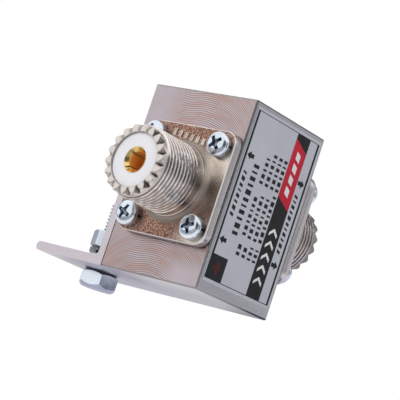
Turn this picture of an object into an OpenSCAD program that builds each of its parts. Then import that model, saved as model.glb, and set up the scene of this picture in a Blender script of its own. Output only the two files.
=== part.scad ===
// Coax lightning arrestor: a milled block between two threaded coax sockets, with a ground bracket.
// The antenna socket faces -Y, the equipment socket +Y, the label +X and the ground foot -X.
// Lengths are in millimetres. The origin is under the middle of the overall box, at its lowest point.

/* [Block] */
// Width of the block, from the label face to the bracket side
block_w = 28.9; // [26:0.1:36]
// Depth of the block, between the two socket faces
block_d = 25.6; // [24:0.2:36]
// Height of the block
block_h = 41.4; // [38:0.2:52]
// Chamfer that breaks the edges of the block
edge_break = 0.35; // [0.1:0.05:1]
// Diameter of the bore that the signal line runs through
line_bore_d = 20; // [19:0.1:20.6]
// Depth of the step in the block's side that takes the bracket's leg
rebate_depth = 1.8; // [1:0.1:3]

/* [Sockets] */
// Side of the square flange
flange_w = 24.8; // [24:0.1:28]
// Thickness of the flange
flange_t = 2.5; // [1.5:0.1:4]
// Corner radius of the flange
flange_r = 3; // [1:0.1:4]
// Chamfer on the outer edge of the flange
flange_break = 0.3; // [0.1:0.05:0.6]
// Spacing of the four flange screws
screw_pitch = 18; // [17.6:0.1:18.4]
// Outer diameter of the threaded barrel
barrel_d = 15.88; // [15.6:0.02:16.4]
// Radius of the fillet between barrel and flange
base_fillet = 1; // [0.4:0.1:1.6]
// Reach of the antenna socket from the block to the tips of its crown
antenna_reach = 16.8; // [15.5:0.1:20]
// Reach of the equipment socket from the block to the tips of its crown
equipment_reach = 15; // [14.5:0.1:20]
// Outer diameter of the toothed crown at the end of the barrel
crown_d = 15.2; // [14.6:0.1:15.5]
// Length of the crown, from the tips of its teeth to the shoulder of the thread
crown_len = 1.6; // [1.6:0.1:3]
// Number of teeth in the crown
teeth_n = 18; // [12:1:20]
// Depth of the notches between the teeth, at the outside of the crown
notch_depth = 1.1; // [0.6:0.05:1.6]
// Width of a notch at the tips of the teeth, at the outside of the crown
notch_w = 2.25; // [1:0.05:2.55]
// Width of the plain ring between the bore and the points where the notches run out
crown_land = 0.25; // [0.1:0.05:0.6]

/* [Insulators and contacts] */
// Outer diameter of the insulator
insulator_d = 11.7; // [11:0.1:12]
// Depth of the insulator's face below the tips of the crown
insulator_recess = 0.5; // [0.4:0.05:1.5]
// Length of the insulator that stands into the block
insulator_boss = 3; // [1:0.1:4]
// Outer diameter of the contact sleeve
contact_d = 5.6; // [5:0.1:6.5]
// Bore of the contact sleeve
contact_bore_d = 4; // [3.9:0.02:4.2]
// Depth of that bore from the mouth of the sleeve
contact_bore_depth = 9.5; // [8:0.1:10.5]
// Length of the contact sleeve
sleeve_len = 11; // [10.8:0.1:12]
// Depth of the flared mouth of the sleeve
mouth_depth = 0.9; // [0.3:0.1:1.2]
// Height of the contact's mouth above the insulator's face
contact_stand = 0.1; // [0:0.05:0.4]
// Width of the slots that make the sleeve springy
contact_slot_w = 0.5; // [0.3:0.05:0.6]
// Length of those slots
contact_slot_len = 6; // [3:0.1:8]
// Diameter of the solder tail behind the sleeve
tail_d = 4; // [3.6:0.1:4.4]
// Reach of the solder tail into the block
tail_reach = 7; // [5.5:0.1:7.5]
// Depth of the cup in the solder tail
cup_depth = 3.5; // [2:0.1:4]

/* [Line and gas tube] */
// Diameter of the rod that joins the two solder tails
rod_d = 3; // [2.4:0.1:3.2]
// Side of the square saddle between the rod and the gas tube
saddle_w = 6; // [5:0.1:7]
// Thickness of the saddle under the rod
saddle_t = 0.6; // [0.4:0.1:0.8]
// Diameter of the gas discharge tube
tube_d = 8; // [6:0.1:9]
// Overall height of the gas discharge tube
tube_h = 6; // [5:0.1:6.4]
// Thickness of each electrode cap of the tube
electrode_t = 0.8; // [0.4:0.1:1.2]
// Wall of the tube's ceramic ring
ceramic_wall = 0.9; // [0.6:0.1:1.5]
// Diameter of the seat that grounds the tube to the block
seat_d = 6; // [4:0.1:7]
// Depth of the seat's hole below the floor of the line bore
seat_bite = 2; // [1:0.1:4]

/* [Screws] */
// Thread diameter of the flange and bracket screws
screw_d = 3; // [2.6:0.1:3.2]
// Diameter of their pan heads
head_d = 5.4; // [5:0.1:5.8]
// Height of their pan heads
head_h = 1.8; // [1.6:0.05:2.4]
// Height of the straight side of the heads, below the dome
head_side = 0.8; // [0.4:0.05:1.1]
// Width across the arms of the cross recess
recess_span = 3; // [2:0.1:3.4]
// Width of one arm of the cross recess
recess_w = 0.7; // [0.5:0.05:0.9]
// Depth of the cross recess
recess_depth = 1.2; // [0.8:0.1:1.4]
// Length of screw thread in the block
screw_bite = 6; // [4:0.1:7]
// Thickness of the split washers under the heads
washer_t = 0.75; // [0.5:0.05:1]
// Outer diameter of those washers
washer_d = 5.4; // [5:0.1:5.8]
// Width of the split in a washer
split_w = 0.5; // [0.3:0.05:0.8]
// Radial clearance of plain screw holes in flanges, washers and bracket
hole_gap = 0.15; // [0.1:0.05:0.3]

/* [Ground bracket] */
// Thickness of the angle bracket
bracket_t = 2; // [2:0.1:3]
// Height of the leg that lies against the block
leg_h = 20; // [17:0.5:28]
// Length of the foot, measured from the back of the leg
foot_len = 20.4; // [18:0.2:30]
// Fillet in the inner corner of the angle
bracket_fillet = 1; // [0.4:0.1:2]
// Rounding of the free edges of the foot and the leg
bracket_round = 0.95; // [0.2:0.05:0.95]
// Spacing of the two bracket screws
bracket_pitch = 14; // [10:0.5:16]
// Height of the bracket screws above the underside
bracket_screw_z = 7.5; // [7:0.1:7.8]

/* [Ground bolt] */
// Thread diameter of the ground bolt
bolt_d = 5; // [4:0.1:5.4]
// Length of the bolt under its head
bolt_len = 15.6; // [14:0.2:24]
// Width across flats of the bolt head and the nut
hex_af = 8; // [7.6:0.1:9]
// Height of the bolt head with its washer face
bolt_head_h = 4; // [3:0.1:5]
// Thickness of the washer face under the head
washer_face_t = 0.35; // [0.1:0.05:0.5]
// Turn of the head's corners about the bolt
head_turn = 17; // [0:1:60]
// Height of the nut
nut_h = 4; // [3:0.1:5]
// Turn of the nut's corners about the bolt
nut_turn = 26; // [0:1:60]
// Outer diameter of the split lock washer under the nut
lock_d = 8.3; // [7.6:0.1:9.6]
// Section thickness of the lock washer
lock_t = 1.2; // [0.8:0.1:1.6]
// Free height of the lock washer between its sprung ends
lock_free_h = 2.8; // [2.4:0.1:3.2]
// Width of the split in the lock washer
lock_split = 0.7; // [0.4:0.1:1.2]
// Turn of the split about the bolt
lock_turn = 225; // [0:5:355]
// Running clearance of the nut on the thread
nut_gap = 0.05; // [0.02:0.01:0.1]
// Gap between the washer, the nut and the foot where they rest
seat_gap = 0.03; // [0.01:0.01:0.1]

/* [Label] */
// Thickness of the label foil
label_t = 0.1; // [0.05:0.01:0.2]
// Margin from the label to the front and back edges of its face
label_side = 0.9; // [0.4:0.1:3]
// Margin from the label to the top edge of its face
label_top = 1.1; // [0.4:0.1:3]
// Margin from the label to the bottom edge of its face
label_foot = 2.3; // [0.4:0.1:4]

/* [Hidden] */
$fn = 72;

// Radial clearance of parts that are pushed or screwed into each other
fit_gap = 0.05;
// Overlap that joins two shapes of one solid, or carries a cut past a surface
eps = 0.2;
// Degrees round a full turn
turn = 360;

// Places on the coax axis: x and z are zero on it, y is zero on the antenna face of the block
label_x = flange_w / 2;
block_x = label_x - block_w;
bottom_z = -block_h / 2;
leg_back_x = block_x + rebate_depth;
leg_out_x = leg_back_x - bracket_t;
foot_tip_x = leg_back_x - foot_len;
foot_top_z = bottom_z + bracket_t;
bolt_x = (foot_tip_x + leg_out_x) / 2;
bolt_y = block_d / 2;
lock_z = foot_top_z + seat_gap;
nut_z = lock_z + lock_free_h + seat_gap;
socket_bore_d = insulator_d + 2 * fit_gap;
contact_recess = insulator_recess - contact_stand;
tube_top_z = -rod_d / 2 - saddle_t;
tube_z = tube_top_z - tube_h;
seat_z = -line_bore_d / 2 - seat_bite;
thread_hole_d = screw_d + 2 * fit_gap;
plain_hole_d = screw_d + 2 * hole_gap;
origin_shift = [
    -(foot_tip_x + label_x + label_t) / 2,
    (antenna_reach - block_d - equipment_reach) / 2,
    bolt_head_h - bottom_z];

// Moves the coax axis frame to the part's own origin
module in_frame() translate(origin_shift) children();

// Local frames of the two socket faces: z points out of the block
module antenna_side() rotate([90, 0, 0]) children();
module equipment_side() translate([0, block_d, 0]) rotate([-90, 0, 0]) children();

// Local frame of the bracket screws: z points out of the bracket's leg
module bracket_side() {
    for (s = [-1, 1])
        translate([leg_out_x, block_d / 2 + s * bracket_pitch / 2, bottom_z + bracket_screw_z])
            rotate([0, -90, 0])
                children();
}

// Local frame of the gas tube: on the middle of the line, z zero on the coax axis
module tube_place() translate([0, block_d / 2, 0]) children();

// Repeats a piece at the four flange screws
module at_flange_screws() {
    for (x = [-1, 1], y = [-1, 1])
        translate([x, y, 0] * screw_pitch / 2)
            children();
}

// Points of a circular arc from angle a to angle b
function arc(cx, cy, r, a, b, n) =
    [for (i = [0 : n]) let (t = a + (b - a) * i / n) [cx + r * cos(t), cy + r * sin(t)]];

// Rectangle with its four corners cut off
module broken_rect(w, h, c)
    polygon([[c, 0], [w - c, 0], [w, c], [w, h - c], [w - c, h], [c, h], [0, h - c], [0, c]]);

// Box with all twelve edges broken
module broken_box(w, d, h, c) {
    intersection() {
        linear_extrude(h)
            broken_rect(w, d, c);
        translate([0, d, 0])
            rotate([90, 0, 0])
                linear_extrude(d)
                    broken_rect(w, h, c);
        rotate([90, 0, 90])
            linear_extrude(w)
                broken_rect(d, h, c);
    }
}

// Square with round corners
module round_square(side, r) {
    half = side / 2 - r;
    polygon(concat(arc(half, half, r, 0, 90, 12), arc(-half, half, r, 90, 180, 12),
        arc(-half, -half, r, 180, 270, 12), arc(half, -half, r, 270, 360, 12)));
}

// Square plate with round corners and broken outer edges
module flange_plate(side, t, r, c) {
    half = side / 2;
    section = [[-half, 0], [half, 0], [half, t - c], [half - c, t], [c - half, t], [-half, t - c]];
    intersection() {
        linear_extrude(t)
            round_square(side, r);
        rotate([90, 0, 0])
            linear_extrude(2 * side, center = true)
                polygon(section);
        rotate([90, 0, 90])
            linear_extrude(2 * side, center = true)
                polygon(section);
    }
}

// Ring with a straight split through one side
module split_ring(d, bore, t, split) {
    difference() {
        cylinder(d = d, h = t);
        translate([0, 0, -eps])
            cylinder(d = bore, h = t + 2 * eps);
        translate([0, -split / 2, -eps])
            cube([d, split, t + 2 * eps]);
    }
}

// Pan head screw with a cross recess; z is zero under the head
module pan_screw(shank) {
    rise = head_h - head_side;
    dome_r = (pow(head_d / 2, 2) + pow(rise, 2)) / (2 * rise);
    dome = arc(0, head_h - dome_r, dome_r, asin((head_side - head_h + dome_r) / dome_r), 90, 8);
    difference() {
        union() {
            rotate_extrude()
                polygon(concat([[0, 0], [head_d / 2, 0]], dome));
            translate([0, 0, -shank])
                cylinder(d = screw_d, h = shank + eps);
        }
        for (a = [0, 90])
            rotate(a)
                translate([-recess_span / 2, -recess_w / 2, head_h - recess_depth])
                    cube([recess_span, recess_w, recess_depth + eps]);
    }
}

// Hexagon whose corners are rounded off at one or both ends
module hex_body(h, chamfer_low, chamfer_high) {
    corner = hex_af / sqrt(3);
    cut = corner - hex_af / 2;
    fall = cut * tan(30);
    low = chamfer_low ? [[corner - cut, 0], [corner, fall]] : [[corner, 0]];
    high = chamfer_high ? [[corner, h - fall], [corner - cut, h]] : [[corner, h]];
    intersection() {
        cylinder(r = corner, h = h, $fn = 6);
        rotate_extrude()
            polygon(concat([[0, 0]], low, high, [[0, h]]));
    }
}

// V notches round the end of the barrel. The floor of each starts at a point on the land inside the teeth
// and falls outwards, so that a notch widens and deepens towards the outside
module crown_notches(reach) {
    inside = socket_bore_d / 2 + crown_land;
    run = crown_d / 2 - inside;
    fall = atan(notch_depth / run);
    length = run / cos(fall) + eps;
    rise = length * tan(fall) + fit_gap;
    half = notch_w / 2 * rise / (run * sin(fall));
    for (i = [0 : teeth_n - 1])
        rotate(i * turn / teeth_n)
            translate([inside, 0, reach])
                rotate([0, fall, 0])
                    translate([-fit_gap, 0, 0])
                        rotate([90, 0, 90])
                            linear_extrude(length + fit_gap)
                                polygon([[0, 0], [half, rise], [-half, rise]]);
}

// Flanged socket shell: flange, filleted barrel and toothed crown, turned and milled from one piece
module socket(reach) {
    barrel_r = barrel_d / 2;
    shoulder = reach - crown_len;
    step = barrel_r - crown_d / 2;
    half_tooth = turn / teeth_n / 2;
    fillet = arc(barrel_r + base_fillet, flange_t + base_fillet, base_fillet, 270, 180, 6);
    difference() {
        union() {
            flange_plate(flange_w, flange_t, flange_r, flange_break);
            rotate(half_tooth)
                rotate_extrude()
                    polygon(concat([[0, 0], [barrel_r + base_fillet, 0]], fillet,
                        [[barrel_r, shoulder - step], [crown_d / 2, shoulder], [crown_d / 2, reach], [0, reach]]));
        }
        rotate(half_tooth)
            translate([0, 0, -eps])
                cylinder(d = socket_bore_d, h = reach + 2 * eps);
        crown_notches(reach);
        at_flange_screws()
            translate([0, 0, -eps])
                cylinder(d = plain_hole_d, h = flange_t + 2 * eps);
    }
}

// Insulator with a stepped hole for the contact
module insulator(reach) {
    face = reach - insulator_recess;
    seat = reach - contact_recess - sleeve_len;
    difference() {
        translate([0, 0, -insulator_boss])
            cylinder(d = insulator_d, h = face + insulator_boss);
        translate([0, 0, seat])
            cylinder(d = contact_d + 2 * fit_gap, h = face - seat + eps);
        translate([0, 0, -insulator_boss - eps])
            cylinder(d = tail_d + 2 * fit_gap, h = insulator_boss + seat + 2 * eps);
    }
}

// Slotted spring contact with a flared mouth and a solder tail
module contact(reach) {
    mouth = reach - contact_recess;
    lip = fit_gap;
    difference() {
        union() {
            translate([0, 0, mouth - sleeve_len])
                cylinder(d = contact_d, h = sleeve_len);
            translate([0, 0, -tail_reach])
                cylinder(d = tail_d, h = mouth - sleeve_len + tail_reach + eps);
        }
        translate([0, 0, mouth - contact_bore_depth])
            cylinder(d = contact_bore_d, h = contact_bore_depth + eps);
        translate([0, 0, mouth - mouth_depth])
            cylinder(d1 = contact_bore_d, d2 = contact_d - 2 * lip, h = mouth_depth);
        translate([0, 0, -tail_reach - eps])
            cylinder(d = rod_d + 2 * fit_gap, h = cup_depth + eps);
        for (a = [45, 135])
            rotate(a)
                translate([-contact_d, -contact_slot_w / 2, mouth - contact_slot_len])
                    cube([2 * contact_d, contact_slot_w, contact_slot_len + eps]);
    }
}

// Four flange screws over their washers
module flange_screws() {
    at_flange_screws()
        translate([0, 0, flange_t + washer_t])
            pan_screw(washer_t + flange_t + screw_bite);
}

// Four split washers on the flange
module flange_washers() {
    at_flange_screws()
        translate([0, 0, flange_t])
            split_ring(washer_d, plain_hole_d, washer_t, split_w);
}

// Tapped holes for the flange screws, half a screw's width deeper than the screws
module flange_screw_holes() {
    depth = screw_bite + screw_d / 2;
    at_flange_screws()
        translate([0, 0, -depth])
            cylinder(d = thread_hole_d, h = depth + eps);
}

// Tapped holes for the bracket screws, starting in the block's rebate
module bracket_screw_holes() {
    depth = screw_bite + screw_d / 2;
    bracket_side()
        translate([0, 0, -bracket_t - depth])
            cylinder(d = thread_hole_d, h = depth + eps);
}

module body_block() {
    color("gainsboro")
        in_frame()
            difference() {
                translate([block_x, 0, bottom_z])
                    broken_box(block_w, block_d, block_h, edge_break);
                translate([block_x - eps, -eps, bottom_z - eps])
                    cube([rebate_depth + eps, block_d + 2 * eps, leg_h + eps]);
                translate([0, block_d + eps, 0])
                    rotate([90, 0, 0])
                        cylinder(d = line_bore_d, h = block_d + 2 * eps);
                tube_place()
                    translate([0, 0, seat_z])
                        cylinder(d = seat_d + 2 * fit_gap, h = -seat_z);
                antenna_side()
                    flange_screw_holes();
                equipment_side()
                    flange_screw_holes();
                bracket_screw_holes();
            }
}

// Outline of the angle: leg up, foot out, free edges rounded
module bracket_outline() {
    r = bracket_round;
    f = bracket_fillet;
    foot_end = concat(arc(bracket_t - foot_len + r, bracket_t - r, r, 90, 180, 6),
        arc(bracket_t - foot_len + r, r, r, 180, 270, 6));
    polygon(concat([[bracket_t, 0], [bracket_t, leg_h]], arc(r, leg_h - r, r, 90, 180, 6),
        arc(-f, bracket_t + f, f, 0, -90, 6), foot_end));
}

module ground_bracket() {
    color("lightgray")
        in_frame()
            difference() {
                translate([leg_out_x, block_d, bottom_z])
                    rotate([90, 0, 0])
                        linear_extrude(block_d)
                            bracket_outline();
                translate([bolt_x, bolt_y, bottom_z - eps])
                    cylinder(d = bolt_d + 2 * hole_gap, h = bracket_t + 2 * eps);
                bracket_side()
                    translate([0, 0, -bracket_t - eps])
                        cylinder(d = plain_hole_d, h = bracket_t + 2 * eps);
            }
}

module bracket_screws() {
    color("silver")
        in_frame()
            bracket_side()
                translate([0, 0, washer_t])
                    pan_screw(washer_t + bracket_t + screw_bite);
}

module bracket_lock_washers() {
    color("silver")
        in_frame()
            bracket_side()
                split_ring(washer_d, plain_hole_d, washer_t, split_w);
}

module antenna_socket() {
    color("tan")
        in_frame()
            antenna_side()
                socket(antenna_reach);
}

module antenna_insulator() {
    color("whitesmoke")
        in_frame()
            antenna_side()
                insulator(antenna_reach);
}

module antenna_contact() {
    color("goldenrod")
        in_frame()
            antenna_side()
                contact(antenna_reach);
}

module antenna_screws() {
    color("silver")
        in_frame()
            antenna_side()
                flange_screws();
}

module antenna_lock_washers() {
    color("silver")
        in_frame()
            antenna_side()
                flange_washers();
}

module equipment_socket() {
    color("tan")
        in_frame()
            equipment_side()
                socket(equipment_reach);
}

module equipment_insulator() {
    color("whitesmoke")
        in_frame()
            equipment_side()
                insulator(equipment_reach);
}

module equipment_contact() {
    color("goldenrod")
        in_frame()
            equipment_side()
                contact(equipment_reach);
}

module equipment_screws() {
    color("silver")
        in_frame()
            equipment_side()
                flange_screws();
}

module equipment_lock_washers() {
    color("silver")
        in_frame()
            equipment_side()
                flange_washers();
}

// Rod between the two solder cups
module centre_conductor() {
    end = tail_reach - cup_depth + fit_gap;
    color("peru")
        in_frame()
            translate([0, block_d - end, 0])
                rotate([90, 0, 0])
                    cylinder(d = rod_d, h = block_d - 2 * end);
}

// Square saddle that hugs the rod from below and gives the tube a flat to press on
module tube_saddle() {
    color("burlywood")
        in_frame()
            tube_place()
                difference() {
                    translate([-saddle_w / 2, -saddle_w / 2, tube_top_z])
                        cube([saddle_w, saddle_w, -tube_top_z]);
                    rotate([90, 0, 0])
                        cylinder(d = rod_d + 2 * fit_gap, h = 2 * saddle_w, center = true);
                }
}

module tube_ceramic() {
    ring_d = tube_d - 4 * fit_gap;
    color("seashell")
        in_frame()
            tube_place()
                translate([0, 0, tube_z + electrode_t])
                    difference() {
                        cylinder(d = ring_d, h = tube_h - 2 * electrode_t);
                        translate([0, 0, -eps])
                            cylinder(d = ring_d - 2 * ceramic_wall, h = tube_h);
                    }
}

module tube_electrodes() {
    color("silver")
        in_frame()
            tube_place()
                for (z = [tube_z, tube_top_z - electrode_t])
                    translate([0, 0, z])
                        cylinder(d = tube_d, h = electrode_t);
}

// Peg pressed into the floor of the line bore, under the tube
module ground_seat() {
    color("burlywood")
        in_frame()
            tube_place()
                translate([0, 0, seat_z])
                    cylinder(d = seat_d, h = tube_z - seat_z);
}

module rating_label() {
    color("slategray")
        in_frame()
            translate([label_x, label_side, bottom_z + label_foot])
                cube([label_t, block_d - 2 * label_side, block_h - label_top - label_foot]);
}

// Hex bolt pushed up through the foot from below
module ground_bolt() {
    tip = bolt_d / 10;
    color("silver")
        in_frame()
            translate([bolt_x, bolt_y, bottom_z]) {
                translate([0, 0, -bolt_head_h])
                    rotate(head_turn)
                        hex_body(bolt_head_h - washer_face_t, true, false);
                translate([0, 0, -washer_face_t - eps])
                    cylinder(d = hex_af - 2 * washer_face_t, h = washer_face_t + eps);
                translate([0, 0, -eps])
                    cylinder(d = bolt_d, h = bolt_len - tip + eps);
                translate([0, 0, bolt_len - tip])
                    cylinder(d1 = bolt_d, d2 = bolt_d - 2 * tip, h = tip);
            }
}

// Split lock washer at its free height: two half turns, each a tilted slice of the ring
module ground_lock_washer() {
    rise = lock_free_h - lock_t;
    ring_r = lock_d / 2;
    tilt = atan(rise / 4 / ring_r);
    color("lightsteelblue")
        in_frame()
            translate([bolt_x, bolt_y, lock_z])
                rotate(lock_turn)
                    difference() {
                        for (s = [1, -1])
                            intersection() {
                                cylinder(d = lock_d, h = lock_free_h);
                                translate([-ring_r, s > 0 ? 0 : -ring_r, 0])
                                    cube([lock_d, ring_r, lock_free_h]);
                                translate([0, 0, lock_free_h / 2 - s * rise / 4])
                                    rotate([0, s * tilt, 0])
                                        cube([2 * lock_d, 2 * lock_d, lock_t * cos(tilt)], center = true);
                            }
                        translate([0, 0, -eps])
                            cylinder(d = bolt_d + 4 * nut_gap, h = lock_free_h + 2 * eps);
                        translate([0, -lock_split / 2, -eps])
                            cube([lock_d, lock_split, lock_free_h + 2 * eps]);
                    }
}

module ground_nut() {
    color("silver")
        in_frame()
            translate([bolt_x, bolt_y, nut_z])
                difference() {
                    rotate(nut_turn)
                        hex_body(nut_h, true, true);
                    translate([0, 0, -eps])
                        cylinder(d = bolt_d + 2 * nut_gap, h = nut_h + 2 * eps);
                }
}

body_block();
ground_bracket();
bracket_screws();
bracket_lock_washers();
antenna_socket();
antenna_insulator();
antenna_contact();
antenna_screws();
antenna_lock_washers();
equipment_socket();
equipment_insulator();
equipment_contact();
equipment_screws();
equipment_lock_washers();
centre_conductor();
tube_saddle();
tube_ceramic();
tube_electrodes();
ground_seat();
rating_label();
ground_bolt();
ground_lock_washer();
ground_nut();
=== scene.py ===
import bpy
import bmesh
import numpy as np
from math import radians, sin, cos, pi
from mathutils import Matrix, Vector


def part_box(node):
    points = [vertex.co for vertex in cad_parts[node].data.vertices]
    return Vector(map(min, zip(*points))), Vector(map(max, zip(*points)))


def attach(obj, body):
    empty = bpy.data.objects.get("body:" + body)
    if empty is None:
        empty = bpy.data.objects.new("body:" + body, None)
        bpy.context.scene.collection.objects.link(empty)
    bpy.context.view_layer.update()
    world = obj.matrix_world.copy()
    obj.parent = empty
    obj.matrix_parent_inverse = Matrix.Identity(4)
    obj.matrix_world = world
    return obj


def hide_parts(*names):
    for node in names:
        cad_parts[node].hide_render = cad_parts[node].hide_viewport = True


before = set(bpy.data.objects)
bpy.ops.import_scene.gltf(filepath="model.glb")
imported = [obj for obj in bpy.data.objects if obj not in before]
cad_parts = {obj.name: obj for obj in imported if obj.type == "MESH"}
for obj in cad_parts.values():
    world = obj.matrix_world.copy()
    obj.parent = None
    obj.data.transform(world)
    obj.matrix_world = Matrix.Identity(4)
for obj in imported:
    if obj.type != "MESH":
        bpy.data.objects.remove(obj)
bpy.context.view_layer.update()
bpy.context.scene.view_settings.view_transform = "Standard"
mm = 0.001  # shapes are worked out in millimetres, finishes in metres
print("frame loaded:", len(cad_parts), "nodes")


# Mesh makers

def addObject(name, data):
    thing = bpy.data.objects.new(name, data)
    bpy.context.scene.collection.objects.link(thing)
    return thing


def gridFaces(rows, columns, closeRows, closeColumns):
    # quads between neighbours of a rows x columns grid, wrapping round where the surface closes
    i = np.arange(rows if closeRows else rows - 1)
    j = np.arange(columns if closeColumns else columns - 1)
    i, j = np.meshgrid(i, j, indexing="ij")
    k, l = (i + 1) % rows, (j + 1) % columns
    quads = np.stack([i * columns + j, k * columns + j, k * columns + l, i * columns + l], axis=-1)
    return quads.reshape(-1, 4)


def surfacePiece(name, grids, material, body, nodes, sharp, shade=None):
    # joins several point grids into one object; poles are merged and the faces turned outwards
    points, faces, count = [], [], 0
    for grid, closeRows, closeColumns in grids:
        faces.append(gridFaces(grid.shape[0], grid.shape[1], closeRows, closeColumns) + count)
        points.append(grid.reshape(-1, 3))
        count += len(points[-1])
    mesh = bpy.data.meshes.new(name)
    mesh.from_pydata((np.concatenate(points) * mm).tolist(), [], np.concatenate(faces).tolist())
    if shade is not None:
        values = mesh.attributes.new("shade", "FLOAT", "POINT").data  # 1 where painted shade darkens the colour
        values.foreach_set("value", shade.astype(np.float32).ravel())
    seatPiece(name, mesh, material, body, nodes, sharp, mergeWithin=2e-7)


def prismPiece(name, outlines, low, high, axis, material, slotName, body):
    # each outline (n x 2) is carried straight along one axis from low to high and closed by flat ends
    points, faces, count = [], [], 0
    for outline in outlines:
        n = len(outline)
        levels = np.repeat(np.array([low, high]), n)
        points.append(np.insert(np.tile(np.asarray(outline, float), (2, 1)), axis, levels, axis=1))
        faces += (gridFaces(2, n, False, True) + count).tolist()
        faces += [list(range(count, count + n)), list(range(count + 2 * n - 1, count + n - 1, -1))]
        count += 2 * n
    mesh = bpy.data.meshes.new(name)
    mesh.from_pydata((np.concatenate(points) * mm).tolist(), [], faces)
    seatPiece(name, mesh, material, body, (), sharp=32)


def seatPiece(name, mesh, material, body, nodes, sharp, mergeWithin=0):
    work = bmesh.new()
    work.from_mesh(mesh)
    if mergeWithin:
        bmesh.ops.remove_doubles(work, verts=work.verts, dist=mergeWithin)
    bmesh.ops.recalc_face_normals(work, faces=work.faces)
    work.to_mesh(mesh)
    work.free()
    mesh.polygons.foreach_set("use_smooth", np.ones(len(mesh.polygons), dtype=bool))
    mesh.set_sharp_from_angle(angle=radians(sharp))
    mesh.materials.append(material)
    piece = addObject(name, mesh)
    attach(piece, body)
    if nodes:
        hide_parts(*nodes)


def turned(radius, along, angle):
    # a ring surface: radius and distance along the axis over (row, angle) become side, lift, along
    radius, along, angle = np.broadcast_arrays(radius, along, angle)
    return radius * np.cos(angle), radius * np.sin(angle), along


def ringArrays(rings, angle):
    # each ring is a tuple of values, plain or one for each angle
    return [np.stack([np.broadcast_to(value, angle.shape) for value in column]) for column in zip(*rings)]


def fullTurn(count):
    return np.linspace(0, 2 * pi, count, endpoint=False)


def threadWave(phase, crest, root):
    # a triangle wave, 0 on the crest and 1 in the root, with flats of the given share of the pitch on both
    swing = np.abs(2 * (phase - np.floor(phase)) - 1)
    return np.clip((1 - swing - crest) / (1 - crest - root), 0, 1)


def easeStep(low, high, value):
    part = np.clip((value - low) / (high - low), 0, 1)
    return part * part * (3 - 2 * part)


# Node helpers

def addNode(tree, kind, **values):
    node = tree.nodes.new("ShaderNode" + kind)
    for key, value in values.items():
        setattr(node, key, value)
    return node


def feed(tree, target, value):
    if isinstance(value, bpy.types.NodeSocket):
        tree.links.new(value, target)
    else:
        target.default_value = value


def sums(tree, operation, *values):
    node = addNode(tree, "Math", operation=operation)
    for entry, value in zip(node.inputs, values):
        feed(tree, entry, value)
    return node.outputs[0]


def times(tree, first, *others):
    for other in others:
        first = sums(tree, "MULTIPLY", first, other)
    return first


def mathsOf(operation):
    return lambda tree, *values: sums(tree, operation, *values)


timesPlus, minus, larger, absolute = map(mathsOf, ("MULTIPLY_ADD", "SUBTRACT", "MAXIMUM", "ABSOLUTE"))


def spread(tree, value, fromLow, fromHigh, toLow=0.0, toHigh=1.0):
    node = addNode(tree, "MapRange", interpolation_type="SMOOTHSTEP")
    feed(tree, node.inputs["Value"], value)
    keys = ("From Min", "From Max", "To Min", "To Max")
    for key, number in zip(keys, (fromLow, fromHigh, toLow, toHigh)):
        feed(tree, node.inputs[key], number)
    return node.outputs[0]


def between(tree, value, rise, fall):
    # 1 from a rising edge to a falling edge
    return times(tree, spread(tree, value, *rise), spread(tree, value, *fall))


def blend(tree, mask, first, second):
    node = addNode(tree, "Mix", data_type="RGBA")
    feed(tree, node.inputs[0], mask)
    for index, colour in ((6, first), (7, second)):
        plain = not isinstance(colour, bpy.types.NodeSocket)
        feed(tree, node.inputs[index], (*colour, 1) if plain else colour)
    return node.outputs[2]


def tint(tree, mask, first, layer):
    # a layer is a colour and the share of the mask by which it covers
    colour, share = layer
    return blend(tree, times(tree, mask, share), first, colour)


def axesOf(tree, vector):
    node = addNode(tree, "SeparateXYZ")
    feed(tree, node.inputs[0], vector)
    return node.outputs["X"], node.outputs["Y"], node.outputs["Z"]


def normalOf(tree):
    return axesOf(tree, addNode(tree, "TexCoord").outputs["Normal"])


def fromLine(tree, side, lift):
    # distance from a line, by two offsets square to it
    return sums(tree, "SQRT", sums(tree, "ADD", times(tree, side, side), times(tree, lift, lift)))


def ripple(tree, phase):
    # up and down between 0 and 1, once for each whole phase
    return timesPlus(tree, sums(tree, "SINE", times(tree, phase, 2 * pi)), 0.5, 0.5)


def newGroup(name, scales, outputs):
    # a node group fed by a vector and some scales
    group = bpy.data.node_groups.new(name, "ShaderNodeTree")
    group.interface.new_socket("Vector", in_out="INPUT", socket_type="NodeSocketVector")
    for title, value in scales.items():
        entry = group.interface.new_socket(title, in_out="INPUT", socket_type="NodeSocketFloat")
        entry.default_value = value
    for title in outputs:
        group.interface.new_socket(title, in_out="OUTPUT", socket_type="NodeSocketFloat")
    return group, group.nodes.new("NodeGroupInput").outputs, group.nodes.new("NodeGroupOutput").inputs


def useGroup(tree, group, vector):
    node = addNode(tree, "Group", node_tree=group)
    feed(tree, node.inputs["Vector"], vector)
    return node


def noiseOf(tree, vector, scale, detail=2.0, roughness=0.55):
    node = addNode(tree, "TexNoise")
    values = {"Vector": vector, "Scale": scale, "Detail": detail, "Roughness": roughness}
    for key, value in values.items():
        feed(tree, node.inputs[key], value)
    return node.outputs[0]


# Grain: a coarse cloud and a fine speckle, used by every finish
grain = {"scales": {"Cloud Scale": 260.0, "Speck Scale": 4000.0}, "cloudShare": 0.55, "speckShare": 0.45,
    "toneEdges": (0.36, 0.64), "roughEdges": (0.3, 0.7)}
tree, grainIn, grainOut = newGroup("surfaceGrain", grain["scales"], ("Cloud", "Speck", "Mottle"))
grainGroup = tree
cloud = noiseOf(tree, grainIn["Vector"], grainIn["Cloud Scale"])
speck = noiseOf(tree, grainIn["Vector"], grainIn["Speck Scale"])
mottle = timesPlus(tree, speck, grain["speckShare"], times(tree, cloud, grain["cloudShare"]))
for title, value in (("Cloud", cloud), ("Speck", speck), ("Mottle", mottle)):
    feed(tree, grainOut[title], value)

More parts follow.
